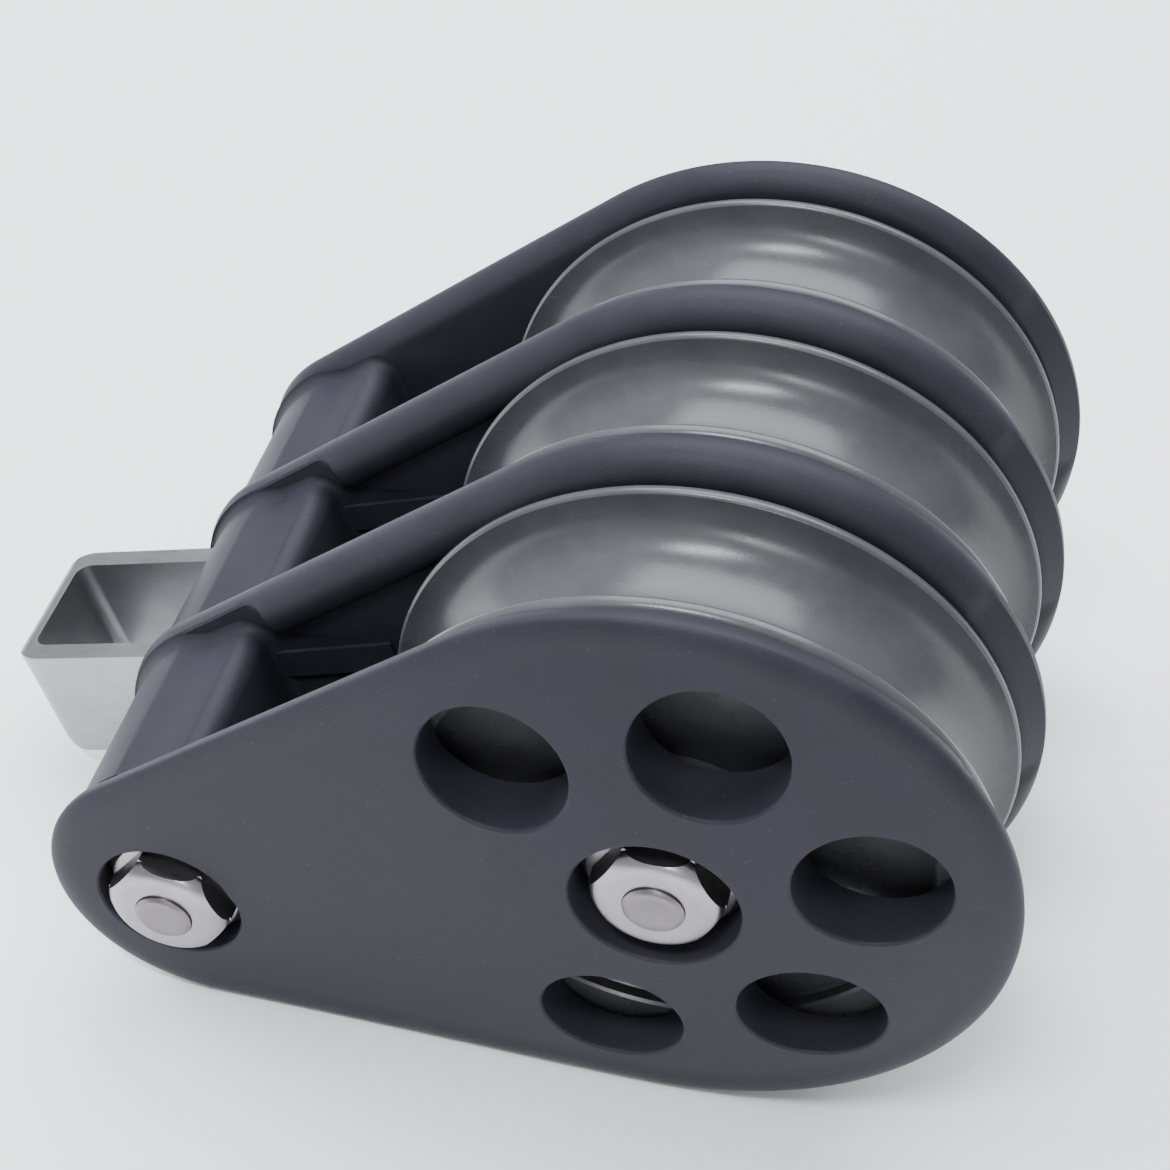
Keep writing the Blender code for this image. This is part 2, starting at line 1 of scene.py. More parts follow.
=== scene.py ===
"""Looks for the triple sheave block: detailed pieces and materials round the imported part.

Shapes are drawn along the block's own axes, in metres, and placed by BLOCK:
  X  along the block, from the head pin towards the round end
  Y  along the axle, the near side at -Y
  Z  across the block, the axle at the origin
"""
import math

import bmesh
import bpy
from mathutils import Matrix, Vector


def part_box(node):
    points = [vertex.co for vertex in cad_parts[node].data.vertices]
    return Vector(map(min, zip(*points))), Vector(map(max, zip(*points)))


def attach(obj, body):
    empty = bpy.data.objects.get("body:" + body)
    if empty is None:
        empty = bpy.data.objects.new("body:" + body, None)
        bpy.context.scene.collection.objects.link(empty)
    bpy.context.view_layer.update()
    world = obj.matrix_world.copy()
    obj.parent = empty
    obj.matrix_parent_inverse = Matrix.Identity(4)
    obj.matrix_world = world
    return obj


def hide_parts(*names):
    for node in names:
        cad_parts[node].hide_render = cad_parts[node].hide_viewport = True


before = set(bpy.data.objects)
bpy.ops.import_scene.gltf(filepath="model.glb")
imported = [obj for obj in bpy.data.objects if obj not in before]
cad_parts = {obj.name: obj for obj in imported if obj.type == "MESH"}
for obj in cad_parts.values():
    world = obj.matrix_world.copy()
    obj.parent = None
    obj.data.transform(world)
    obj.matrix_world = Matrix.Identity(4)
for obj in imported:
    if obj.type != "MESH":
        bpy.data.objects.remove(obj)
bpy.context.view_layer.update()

MM = 0.001


# ---- places and sizes taken from the frame ------------------------------
def middle_of(node):
    low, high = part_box(node)
    return (Vector(low) + Vector(high)) / 2


def size_of(node):
    low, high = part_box(node)
    return Vector(high) - Vector(low)


AXLE = middle_of("sheave_middle")
PIN_VECTOR = middle_of("head_nut") - AXLE
HEAD_PIN_REACH = math.hypot(PIN_VECTOR.x, PIN_VECTOR.z)
TANGENT_TILT = math.asin(-PIN_VECTOR.z / HEAD_PIN_REACH)
BLOCK = Matrix.Translation(AXLE) @ Matrix.Rotation(-TANGENT_TILT, 4, "Y")
ROUND_RADIUS = AXLE.z           # the plates' round end rests on the ground
SHEAVE_RADIUS = size_of("sheave_middle").z / 2
SHEAVE_HALF_WIDTH = size_of("sheave_middle").y / 2
PLATE_PITCH = AXLE.y - middle_of("sheave_near").y

# ---- sizes shared by several pieces -------------------------------------
HEAD_PIN_OFFSET = 3.1 * MM      # the pin is this far outside the centre of the head's arc
HEAD_ARC_REACH = HEAD_PIN_REACH - HEAD_PIN_OFFSET
HEAD_RADIUS = ROUND_RADIUS - HEAD_ARC_REACH * math.sin(TANGENT_TILT)

CHEEK_INNER = 2.4 * MM          # from a cheek's middle plane to its inner face
CHEEK_MIDDLE = 1.5 * PLATE_PITCH
DIVIDER_MIDDLE = 0.5 * PLATE_PITCH
CHEEK_INNER_FACE = CHEEK_MIDDLE - CHEEK_INNER
AXLE_POCKET = (0.0, 7.17 * MM, 1.3 * MM)    # reach, radius, floor over the cheek's inner face
HEAD_POCKET = (HEAD_PIN_REACH, 6.67 * MM, 0.9 * MM)

BOLT_HOLE = 3.3 * MM
BOLT_RADIUS = 3.0 * MM
BORE_STEPS = 48
OVERCUT = 1 * MM                # how far a cutter passes the face it starts from

SIDES = (("near", -1), ("far", 1))
BAYS = (("near", -PLATE_PITCH), ("middle", 0.0), ("far", PLATE_PITCH))


# ---- node materials -----------------------------------------------------
class Nodes:
    """Thin wrapper that adds nodes to a material and links them."""

    def __init__(self, name):
        self.material = bpy.data.materials.new(name)
        self.material.use_nodes = True
        self.tree = self.material.node_tree
        self.shader = self.tree.nodes["Principled BSDF"]
        self.coords = self.tree.nodes.new("ShaderNodeTexCoord").outputs["Object"]

    def add(self, kind, inputs=(), **settings):
        node = self.tree.nodes.new(kind)
        for key, value in settings.items():
            setattr(node, key, value)
        for key, value in dict(inputs).items():
            self.put(node.inputs[key], value)
        return node

    def put(self, socket, value):
        if isinstance(value, bpy.types.NodeSocket):
            self.tree.links.new(value, socket)
        else:
            socket.default_value = value

    def finish(self, **values):
        """Set the shader's inputs, each named with _ for a space."""
        for key, value in values.items():
            self.put(self.shader.inputs[key.replace("_", " ")], value)
        return self.material

    def noise(self, scale, detail, roughness, vector=None):
        node = self.add("ShaderNodeTexNoise", {
            "Vector": vector or self.coords, "Scale": scale, "Detail": detail,
            "Roughness": roughness})
        return node.outputs["Fac"]

    def ramp(self, value, low, high, to_low=0.0, to_high=1.0):
        node = self.add("ShaderNodeMapRange", {
            "Value": value, "From Min": low, "From Max": high,
            "To Min": to_low, "To Max": to_high})
        return node.outputs["Result"]

    def math(self, operation, first, second=0.0):
        node = self.add("ShaderNodeMath", {0: first, 1: second}, operation=operation)
        return node.outputs["Value"]

    def blend(self, factor, first, second):
        node = self.add("ShaderNodeMix", data_type="RGBA")
        self.put(node.inputs["Factor"], factor)
        self.put(node.inputs["A"], first)
        self.put(node.inputs["B"], second)
        return [out for out in node.outputs if out.type == "RGBA"][0]

    def bump(self, height, strength, distance, normal=None):
        node = self.add("ShaderNodeBump", {
            "Height": height, "Strength": strength, "Distance": distance})
        if normal is not None:
            self.put(node.inputs["Normal"], normal)
        return node.outputs["Normal"]


def plate_material():
    """Matt slate-grey moulded nylon with a fine grain."""
    dark, light = (0.0215, 0.0210, 0.0290, 1), (0.0265, 0.0260, 0.0350, 1)
    fleck_tone = (0.042, 0.043, 0.052, 1)
    n = Nodes("moulded_slate_plastic")
    mottle = n.noise(scale=160, detail=4.0, roughness=0.6)
    grain = n.noise(scale=2600, detail=2.0, roughness=0.6)
    tone = n.blend(n.ramp(mottle, 0.35, 0.65), dark, light)
    fleck = n.ramp(n.noise(scale=3400, detail=1.0, roughness=0.5), 0.70, 0.78)
    coarse = n.bump(mottle, strength=0.10, distance=0.4 * MM)
    return n.finish(
        Base_Color=n.blend(fleck, tone, fleck_tone),
        Roughness=n.ramp(mottle, 0.3, 0.7, to_low=0.46, to_high=0.56),
        Specular_IOR_Level=0.17,
        Normal=n.bump(grain, strength=0.30, distance=0.06 * MM, normal=coarse))


def sheave_material():
    """Dark grey turned plastic, satin, with fine marks round the groove."""
    dark, light = (0.060, 0.059, 0.066, 1), (0.074, 0.073, 0.080, 1)
    mark_tone, mark_strength = (0.092, 0.091, 0.100, 1), 0.35
    stretch_round = 0.004       # metres to a radian, short of the radius, so marks are drawn out
    n = Nodes("sheave_plastic")
    split = n.add("ShaderNodeSeparateXYZ", {"Vector": n.coords})
    x, y, z = split.outputs
    turn = n.math("ARCTAN2", z, x)
    squares = n.math("ADD", n.math("MULTIPLY", x, x), n.math("MULTIPLY", z, z))
    lathe = n.add("ShaderNodeCombineXYZ", {
        "X": n.math("MULTIPLY", turn, stretch_round), "Y": y, "Z": n.math("SQRT", squares)})
    marks = n.noise(scale=1500, detail=3.0, roughness=0.6, vector=lathe.outputs["Vector"])
    mottle = n.noise(scale=140, detail=3.0, roughness=0.6)
    speckle = n.noise(scale=4200, detail=2.0, roughness=0.7)
    tone = n.blend(n.ramp(mottle, 0.35, 0.65), dark, light)
    marked = n.ramp(marks, 0.55, 0.75, to_low=0.0, to_high=mark_strength)
    turned_marks = n.bump(marks, strength=0.08, distance=0.06 * MM)
    return n.finish(
        Base_Color=n.blend(marked, tone, mark_tone),
        Roughness=n.ramp(mottle, 0.3, 0.7, to_low=0.22, to_high=0.32),
        Normal=n.bump(speckle, strength=0.30, distance=0.03 * MM, normal=turned_marks))


def steel_material(name, tone, roughness, brush_scale):
    """Polished stainless steel with a faint brushed grain."""
    darker = tuple(0.86 * channel for channel in tone[:3]) + (1,)
    n = Nodes(name)
    stretched = n.add("ShaderNodeMapping", {"Vector": n.coords, "Scale": (0.15, 1.0, 1.0)})
    brush = n.noise(brush_scale, detail=3.0, roughness=0.6, vector=stretched.outputs["Vector"])
    mottle = n.noise(scale=220, detail=3.0, roughness=0.6)
    return n.finish(
        Base_Color=n.blend(n.ramp(mottle, 0.35, 0.7), tone, darker),
        Roughness=n.ramp(brush, 0.3, 0.7, to_low=roughness, to_high=roughness + 0.09),
        Metallic=1.0,
        Normal=n.bump(brush, strength=0.03, distance=0.02 * MM))


def bush_material():
    """Pale bearing plastic, hidden inside the sheaves."""
    n = Nodes("bush_plastic")
    mottle = n.noise(scale=300, detail=2.0, roughness=0.5)
    return n.finish(
        Base_Color=n.blend(mottle, (0.50, 0.49, 0.45, 1), (0.58, 0.57, 0.53, 1)),
        Roughness=n.ramp(mottle, 0.3, 0.7, to_low=0.40, to_high=0.50))


PLATE = plate_material()
SHEAVE = sheave_material()
STEEL = steel_material("stainless_steel", (0.37, 0.35, 0.355, 1), 0.27, 2600)
BOLT = steel_material("stainless_bolt", (0.23, 0.212, 0.215, 1), 0.34, 2200)
STRAP = steel_material("stainless_strap", (0.36, 0.355, 0.37, 1), 0.34, 1800)
BUSH = bush_material()


# ---- mesh helpers -------------------------------------------------------
def make(name, mesh_data, finish=None, sharp=32):
    """Turn mesh data into an object, with hard edges above the sharp angle. Cutters have no finish."""
    bmesh.ops.recalc_face_normals(mesh_data, faces=mesh_data.faces)
    mesh = bpy.data.meshes.new(name)
    mesh_data.to_mesh(mesh)
    mesh_data.free()
    mesh.shade_smooth()
    mesh.set_sharp_from_angle(angle=math.radians(sharp))
    if finish:
        mesh.materials.append(finish)
    obj = bpy.data.objects.new(name, mesh)
    bpy.context.scene.collection.objects.link(obj)
    return obj


def combine(target, tools, operation, sharp=32):
    """Boolean the tools with target, keep only the result."""
    for tool in tools:
        step = target.modifiers.new(operation.lower(), "BOOLEAN")
        step.operation = operation
        step.solver = "EXACT"
        step.object = tool
    bpy.context.view_layer.update()
    graph = bpy.context.evaluated_depsgraph_get()
    result = bpy.data.meshes.new_from_object(target.evaluated_get(graph))
    target.modifiers.clear()
    target.data = result
    for tool in tools:
        bpy.data.objects.remove(tool, do_unlink=True)
    result.shade_smooth()
    result.set_sharp_from_angle(angle=math.radians(sharp))


def place(obj, body, nodes, matrix=BLOCK):
    """Put a piece in the frame, let it ride, and let it stand for CAD nodes."""
    obj.data.transform(matrix.to_3x3().to_4x4())    # turned in the mesh, so its box stays tight
    obj.matrix_world = Matrix.Translation(matrix.translation)
    bpy.context.view_layer.update()
    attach(obj, body)
    if nodes:
        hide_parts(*nodes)


def soften(obj, width, angle):
    """Round the edges that are sharper than the angle."""
    step = obj.modifiers.new("edge_round", "BEVEL")
    step.width = width
    step.segments = 3
    step.limit_method = "ANGLE"
    step.angle_limit = math.radians(angle)
    step.harden_normals = True


def ring_solid(rings, close=False):
    """Solid through equal rings of points; capped at both ends, or closed on itself."""
    mesh_data = bmesh.new()
    made = [[mesh_data.verts.new(point) for point in ring] for ring in rings]
    count = len(rings[0])
    pairs = list(zip(made, made[1:]))
    if close:
        pairs.append((made[-1], made[0]))
    else:
        mesh_data.faces.new(made[0])
        mesh_data.faces.new(made[-1])
    for here, there in pairs:
        for k in range(count):
            after = (k + 1) % count
            mesh_data.faces.new((here[k], here[after], there[after], there[k]))
    return mesh_data


def circle_spots(steps):
    """Unit circle as (x, z) points, turned by half a step."""
    angles = [2 * math.pi * (k + 0.5) / steps for k in range(steps)]
    return [(math.cos(angle), math.sin(angle)) for angle in angles]


def turned(profile, steps=96, closed=False, x=0.0):
    """Solid of revolution about Y; a closed profile makes a ring with a bore."""
    spots = circle_spots(steps)
    rings = [[(x + radius * c, y, radius * s) for c, s in spots] for radius, y in profile]
    return ring_solid(rings, close=closed)


def extruded(outline, ys):
    """Prism along Y from an (x, z) outline, repeated at each y."""
    return ring_solid([[(x, y, z) for x, z in outline] for y in ys])


def bore(name, low, high, reach=0.0, radius=BOLT_HOLE):
    """Round cutter along Y, this far from the axle towards the head."""
    return make(name, turned([(radius, low), (radius, high)], BORE_STEPS, x=-reach))


def arc(centre_x, centre_z, radius, start, end, steps):
    return [(centre_x + radius * math.cos(start + (end - start) * k / steps),
             centre_z + radius * math.sin(start + (end - start) * k / steps))
            for k in range(steps + 1)]


def smooth(value, low, high):
    """0 below low, 1 above high and an S-curve between."""
    t = min(1.0, max(0.0, (value - low) / (high - low)))
    return t * t * (3 - 2 * t)


# ---- outline of the plates ----------------------------------------------
RIM_HALF = 2.5 * MM             # half the thickness of the bar round a plate's edge
WEB_HALF = 1.1 * MM
THIN_START = 37.7 * MM          # from the axle; beyond it the bar thins to about the web
THIN_LENGTH = 1.6 * MM
THIN_EDGE_ROUND = 0.35 * MM
RELIEF_ANGLE = math.radians(20)     # the bar is chamfered this far either side of the end
RELIEF_RUNOUT = math.radians(2.2)
RELIEF_LAND = 0.45 * MM
RELIEF_SLOPE = 0.95

ROUND_STEPS = 132
EDGE_STEPS = 44
HEAD_STEPS = 40


class Station:
    """One place round a plate's outline, from which its section is drawn."""

    def __init__(self, centre, angle, thin=0.0, relief=0.0):
        self.centre = Vector(centre)
        self.out = Vector((math.cos(angle), math.sin(angle)))
        self.thin = thin
        self.relief = relief

    def at(self, inset):
        reach = -self.centre.x / HEAD_ARC_REACH
        radius = ROUND_RADIUS + (HEAD_RADIUS - ROUND_RADIUS) * reach
        return self.centre + self.out * (radius - inset)


def plate_stations():
    """Anticlockwise: round end, upper edge, head, lower edge."""
    turn = math.pi / 2 + TANGENT_TILT
    drift = math.sin(TANGENT_TILT)
    slope = 1 - (ROUND_RADIUS - HEAD_RADIUS) / HEAD_ARC_REACH * drift

    def thin_at(along):
        """How far the bar is thinned where the spine is this far from the axle."""
        reach = along * slope + ROUND_RADIUS * drift
        return smooth(reach, THIN_START, THIN_START + THIN_LENGTH)

    stations = []
    for k in range(ROUND_STEPS + 1):
        angle = -turn + 2 * turn * k / ROUND_STEPS
        relief = 1 - smooth(abs(angle), RELIEF_ANGLE, RELIEF_ANGLE + RELIEF_RUNOUT)
        stations.append(Station((0, 0), angle, relief=relief))
    alongs = [HEAD_ARC_REACH * k / EDGE_STEPS for k in range(1, EDGE_STEPS)]
    for along in alongs:
        stations.append(Station((-along, 0), turn, thin=thin_at(along)))
    for k in range(HEAD_STEPS + 1):
        angle = turn + (2 * math.pi - 2 * turn) * k / HEAD_STEPS
        stations.append(Station((-HEAD_ARC_REACH, 0), angle, thin=1.0))
    for along in reversed(alongs):
        stations.append(Station((-along, 0), -turn, thin=thin_at(along)))
    return stations


def bar_depth(station, inset, depth):
    """Limit the bar's bulge where it is thinned or chamfered."""
    chamfered = min(depth, RELIEF_LAND + RELIEF_SLOPE * inset)
    depth += (chamfered - depth) * station.relief
    rounded = THIN_EDGE_ROUND * (1 - smooth(inset, 0, THIN_EDGE_ROUND))
    thin_edge = WEB_HALF - rounded * station.thin
    thin_limit = RIM_HALF + (thin_edge - RIM_HALF) * station.thin
    return min(depth, thin_limit)


def plate_solid(stations, rings, crown=None):
    """Closed shell through the rings; a crown closes it on the plate's spine instead of a cap."""
    mesh_data = bmesh.new()
    made = [[mesh_data.verts.new(point) for point in ring] for ring in rings]
    count = len(stations)
    mesh_data.faces.new(made[0])
    if crown is None:
        mesh_data.faces.new(made[-1])
    else:
        spine = {}
        for station in stations:
            x = station.centre.x
            if round(x, 7) not in spine:
                spine[round(x, 7)] = mesh_data.verts.new((x, crown(x), 0))
        made.append([spine[round(station.centre.x, 7)] for station in stations])
    for here, there in zip(made, made[1:]):
        for k in range(count):
            after = (k + 1) % count
            corners = [here[k], here[after], there[after], there[k]]
            if there[after] == there[k]:
                corners.pop()
            mesh_data.faces.new(corners)
    return mesh_data


def shifted(mesh_data, y):
    for vert in mesh_data.verts:
        vert.co.y += y
    return mesh_data


# ---- dividers -----------------------------------------------------------
HUB_HALF = 2.2 * MM
HUB_RADIUS = 9.0 * MM
RIB_LOW, RIB_HIGH = 7.6 * MM, 10.6 * MM
RIB_PROUD = 0.4 * MM
RIB_FRONT, RIB_BACK = -27.0 * MM, -39.5 * MM
BAR_STEPS = 14
DIVIDER_CUT = 6 * MM            # half the length of the cutter for a divider's bolt hole


def divider_mesh():
    stations = plate_stations()
    web_angle = math.pi - math.asin(WEB_HALF / RIM_HALF)
    angles = [web_angle * k / BAR_STEPS for k in range(BAR_STEPS + 1)]
    rings = []
    for side in (-1, 1):
        part = []
        for angle in angles:
            inset = RIM_HALF * (1 - math.cos(angle))
            ring = []
            for station in stations:
                depth = bar_depth(station, inset, RIM_HALF * math.sin(angle))
                x, z = station.at(inset)
                ring.append((x, side * depth, z))
            part.append(ring)
        rings += part[::-1] if side < 0 else part[1:]
    return plate_solid(stations, rings)


def add_divider(label, side):
    middle = side * DIVIDER_MIDDLE
    plate = make(label + "_divider_shell", shifted(divider_mesh(), middle), PLATE)
    hub_ends = [(HUB_RADIUS, middle - HUB_HALF), (HUB_RADIUS, middle + HUB_HALF)]
    raised = [make("hub", turned(hub_ends), PLATE)]
    for sign in (1, -1):
        low, high = sorted((sign * RIB_LOW, sign * RIB_HIGH))
        outline = [(RIB_BACK, low), (RIB_FRONT, low), (RIB_FRONT, high), (RIB_BACK, high)]
        rib = extruded(outline, (middle - WEB_HALF - RIB_PROUD, middle))
        raised.append(make("rib", rib, PLATE))
    combine(plate, raised, "UNION")
    combine(plate, [bore("bolt_way", middle - DIVIDER_CUT, middle + DIVIDER_CUT, reach)
                    for reach in (0.0, HEAD_PIN_REACH)], "DIFFERENCE")
    place(plate, "block", [label + "_divider"])


# ---- cheeks -------------------------------------------------------------
CHEEK_APEX = 3.4 * MM           # dome's height over the cheek's middle plane, at the axle
DOME_FALL_ACROSS = 3.02 * MM    # fall at ROUND_RADIUS above or below the axle
DOME_FALL_ALONG = 2.32 * MM     # fall at ROUND_RADIUS along the block
DOME_HEAD_FALL = 2.2 * MM       # the fall towards the head levels out here
CHEEK_EDGE_ROUND = 3.0 * MM
CHEEK_INNER_STEPS = 7
CHEEK_EDGE_STEPS = 8
DOME_SHARES = (0.06, 0.14, 0.25, 0.37, 0.5, 0.63, 0.76, 0.89)   # rings from edge to spine

HOLE_RADIUS = 6.3 * MM
HOLE_CIRCLE = 18.0 * MM
HOLE_PITCH = math.radians(60)
HOLE_COUNT = 5
HOLE_STEPS = 72
HOLE_EDGE_ROUND = 0.35 * MM
HOLE_EDGE_ANGLES = (0, 20, 40, 58, 72)      # degrees round the rounded edge


def dome_height(x, z):
    across = DOME_FALL_ACROSS * (z / ROUND_RADIUS) ** 2
    along = DOME_FALL_ALONG * (x / ROUND_RADIUS) ** 2
    if x < 0:
        along = DOME_HEAD_FALL * (1 - math.exp(-along / DOME_HEAD_FALL))
    return CHEEK_APEX - across - along


def cheek_inner_rings(stations, side):
    """The quarter-round bar inside the cheek, flat at the cheek's inner face."""
    rings = []
    for k in range(CHEEK_INNER_STEPS):
        angle = math.pi / 2 * (1 - k / CHEEK_INNER_STEPS)
        inset = RIM_HALF * (1 - math.cos(angle))
        ring = []
        for station in stations:
            depth = min(bar_depth(station, inset, RIM_HALF * math.sin(angle)), CHEEK_INNER)
            plain = CHEEK_INNER * math.sin(angle)
            depth += (plain - depth) * station.thin
            x, z = station.at(inset)
            ring.append((x, -side * depth, z))
        rings.append(ring)
    return rings


def cheek_outer_rings(stations, side):
    """The rounded outer edge, then the dome up to its spine."""
    rings = []
    for k in range(CHEEK_EDGE_STEPS + 1):
        angle = math.pi / 2 * k / CHEEK_EDGE_STEPS
        inset = CHEEK_EDGE_ROUND * (1 - math.cos(angle))
        ring = []
        for station in stations:
            x, z = station.at(inset)
            edge_x, edge_z = station.at(CHEEK_EDGE_ROUND)
            ring.append((x, side * dome_height(edge_x, edge_z) * math.sin(angle), z))
        rings.append(ring)
    for share in DOME_SHARES:
        ring = []
        for station in stations:
            x, z = station.at(CHEEK_EDGE_ROUND).lerp(station.centre, share)
            ring.append((x, side * dome_height(x, z), z))
        rings.append(ring)
    return rings


def cheek_mesh(side):
    stations = plate_stations()
    rings = cheek_inner_rings(stations, side) + cheek_outer_rings(stations, side)
    return plate_solid(stations, rings, crown=lambda x: side * dome_height(x, 0))


def hole_tool(side, x, z, radius, floor):
    """Round cutter whose rim follows the domed face, so that it leaves a rounded edge."""
    middle = side * CHEEK_MIDDLE
    spots = circle_spots(HOLE_STEPS)

    def ring(size, depth):
        return [(x + size * c, middle + side * (dome_height(x + size * c, z + size * s) - depth),
                 z + size * s) for c, s in spots]

    fillet = HOLE_EDGE_ROUND
    rings = [[(x + radius * c, side * floor, z + radius * s) for c, s in spots]]
    for degrees in HOLE_EDGE_ANGLES:
        angle = math.radians(degrees)
        rings.append(ring(radius + fillet * (1 - math.cos(angle)), fillet * (1 - math.sin(angle))))
    for clear_of_face in (0.6 * fillet, 3 * MM):
        rings.append(ring(radius + 1.1 * fillet, -clear_of_face))
    return make("hole", ring_solid(rings))


def add_cheek(label, side):
    cheek = make(label + "_cheek_shell", shifted(cheek_mesh(side), side * CHEEK_MIDDLE), PLATE)
    tools = []
    for k in range(HOLE_COUNT):
        angle = (k - (HOLE_COUNT - 1) / 2) * HOLE_PITCH
        x, z = HOLE_CIRCLE * math.cos(angle), HOLE_CIRCLE * math.sin(angle)
        tools.append(hole_tool(side, x, z, HOLE_RADIUS, CHEEK_INNER_FACE - OVERCUT))
    for reach, radius, floor in (AXLE_POCKET, HEAD_POCKET):
        tools.append(hole_tool(side, -reach, 0, radius, CHEEK_INNER_FACE + floor))
        low, high = sorted((side * (CHEEK_INNER_FACE - OVERCUT), side * (CHEEK_MIDDLE + OVERCUT)))
        tools.append(bore("bolt_way", low, high, reach))
    combine(cheek, tools, "DIFFERENCE")
    place(cheek, "block", [label + "_cheek"])


# ---- sheaves ------------------------------------------------------------
FLANGE_LAND = 1.4 * MM
FLANGE_ROUND = 0.95 * MM
FLANGE_ROUND_ANGLES = (0, 15, 30, 45, 60, 75, 90)       # degrees
GROOVE_DEPTH = 5.0 * MM
GROOVE_FULLNESS = 0.8           # below 1 the groove is fuller than a half wave
GROOVE_LIP = 0.25 * MM
LIP_OUTER = 0.30 * MM           # the flange's rim ends this far outside the groove
LIP_INNER = (0.12 * MM, 0.08 * MM)      # then a point: outside the groove, down from the rim
GROOVE_STEPS = 40
SHEAVE_STEPS = 160
SHEAVE_BORE = 6.9 * MM
RECESS_INNER = 9.6 * MM
RECESS_OUTER = SHEAVE_RADIUS - 5.5 * MM
RECESS_DEPTH = 1.6 * MM
HUB_EDGE = 0.3 * MM
RECESS_EDGE = 0.25 * MM
RECESS_ROOT = 0.4 * MM


def sheave_profile():
    half, rim = SHEAVE_HALF_WIDTH, SHEAVE_RADIUS
    groove_half = half - FLANGE_LAND
    floor = half - RECESS_DEPTH
    side = [(SHEAVE_BORE, half - HUB_EDGE), (SHEAVE_BORE + HUB_EDGE, half),
            (RECESS_INNER - HUB_EDGE, half), (RECESS_INNER, half - HUB_EDGE),
            (RECESS_INNER, floor + HUB_EDGE), (RECESS_INNER + HUB_EDGE, floor),
            (RECESS_OUTER - RECESS_ROOT, floor), (RECESS_OUTER, floor + RECESS_ROOT),
            (RECESS_OUTER, half - RECESS_EDGE), (RECESS_OUTER + RECESS_EDGE, half)]
    for degrees in FLANGE_ROUND_ANGLES:
        angle = math.radians(degrees)
        side.append((rim - FLANGE_ROUND * (1 - math.sin(angle)),
                     half - FLANGE_ROUND * (1 - math.cos(angle))))
    across, down = LIP_INNER
    side += [(rim, groove_half + LIP_OUTER), (rim - down, groove_half + across)]
    groove = []
    for k in range(GROOVE_STEPS + 1):
        angle = math.pi * k / GROOVE_STEPS
        sink = GROOVE_DEPTH * max(math.sin(angle), 0.0) ** GROOVE_FULLNESS
        groove.append((rim - GROOVE_LIP - sink, groove_half * math.cos(angle)))
    return side + groove + [(radius, -y) for radius, y in reversed(side)]


def add_sheave(label, middle):
    wheel = make(f"sheave_{label}_turned", turned(sheave_profile(), SHEAVE_STEPS, closed=True), SHEAVE)
    place(wheel, label + "_wheel", ["sheave_" + label],
          BLOCK @ Matrix.Translation((0, middle, 0)))


# ---- eye strap ----------------------------------------------------------
STRAP_TILT = math.radians(4)
STRAP_LOW, STRAP_HIGH = -5.6 * MM, 7.4 * MM
LEG_OUTER = 7.9 * MM
LEG_INNER = 5.9 * MM
EYE_REACH = 25.2 * MM           # from the head pin to the outer end
STRAP_HEAD_REACH = 5.6 * MM     # from the head pin into the block
BEND_RADIUS = 3.4 * MM
BEND_STEPS = 14
STRAP_THICK = LEG_OUTER - LEG_INNER
UPPER_CORNER_ROUND = 1.6 * MM
LOWER_CORNER_ROUND = 3.8 * MM
INNER_CORNER_ROUND = 3.0 * MM
LOWER_CORNER_STEPS = 24
CORNER_STEPS = 10
WAIST_DEPTH = 1.2 * MM          # the end of the strap draws in above its lower lobe
WAIST_STEPS = 20
STRAP_EDGE_ROUND = 0.35 * MM
STRAP_CUT = 20 * MM             # half the size of the solids that cut the strap out
PIN = Matrix.Translation((-HEAD_PIN_REACH, 0, 0)) @ Matrix.Rotation(STRAP_TILT, 4, "Y")


def strap_side_outline():
    """The strap from the side: rounded corners, and a waist in its outer end."""
    quarter = math.pi / 2
    high, low = STRAP_HIGH - UPPER_CORNER_ROUND, STRAP_LOW + LOWER_CORNER_ROUND
    inner = INNER_CORNER_ROUND
    inner_x = STRAP_HEAD_REACH - inner
    points = arc(-EYE_REACH + LOWER_CORNER_ROUND, low, LOWER_CORNER_ROUND,
                 math.pi, 1.5 * math.pi, LOWER_CORNER_STEPS)
    points += arc(inner_x, STRAP_LOW + inner, inner, -quarter, 0, CORNER_STEPS)
    points += arc(inner_x, STRAP_HIGH - inner, inner, 0, quarter, CORNER_STEPS)
    points += arc(-EYE_REACH + UPPER_CORNER_ROUND, high, UPPER_CORNER_ROUND,
                  quarter, math.pi, CORNER_STEPS)
    for k in range(1, WAIST_STEPS):
        share = k / WAIST_STEPS
        points.append((-EYE_REACH + WAIST_DEPTH * math.sin(math.pi * share) ** 2,
                       high + (low - high) * share))
    return points


def strap_plan():
    """The bent strip from above: two legs joined by the web at the eye's end."""
    end = STRAP_HEAD_REACH + OVERCUT
    inner_bend = BEND_RADIUS - STRAP_THICK
    bend_x = -EYE_REACH + BEND_RADIUS
    bend_y = LEG_OUTER - BEND_RADIUS
    plan = [(end, -LEG_OUTER)]
    plan += arc(bend_x, -bend_y, BEND_RADIUS, 1.5 * math.pi, math.pi, BEND_STEPS)
    plan += arc(bend_x, bend_y, BEND_RADIUS, math.pi, math.pi / 2, BEND_STEPS)
    plan += [(end, LEG_OUTER), (end, LEG_INNER)]
    plan += arc(bend_x, bend_y, inner_bend, math.pi / 2, math.pi, BEND_STEPS)
    plan += arc(bend_x, -bend_y, inner_bend, math.pi, 1.5 * math.pi, BEND_STEPS)
    plan += [(end, -LEG_INNER)]
    return plan


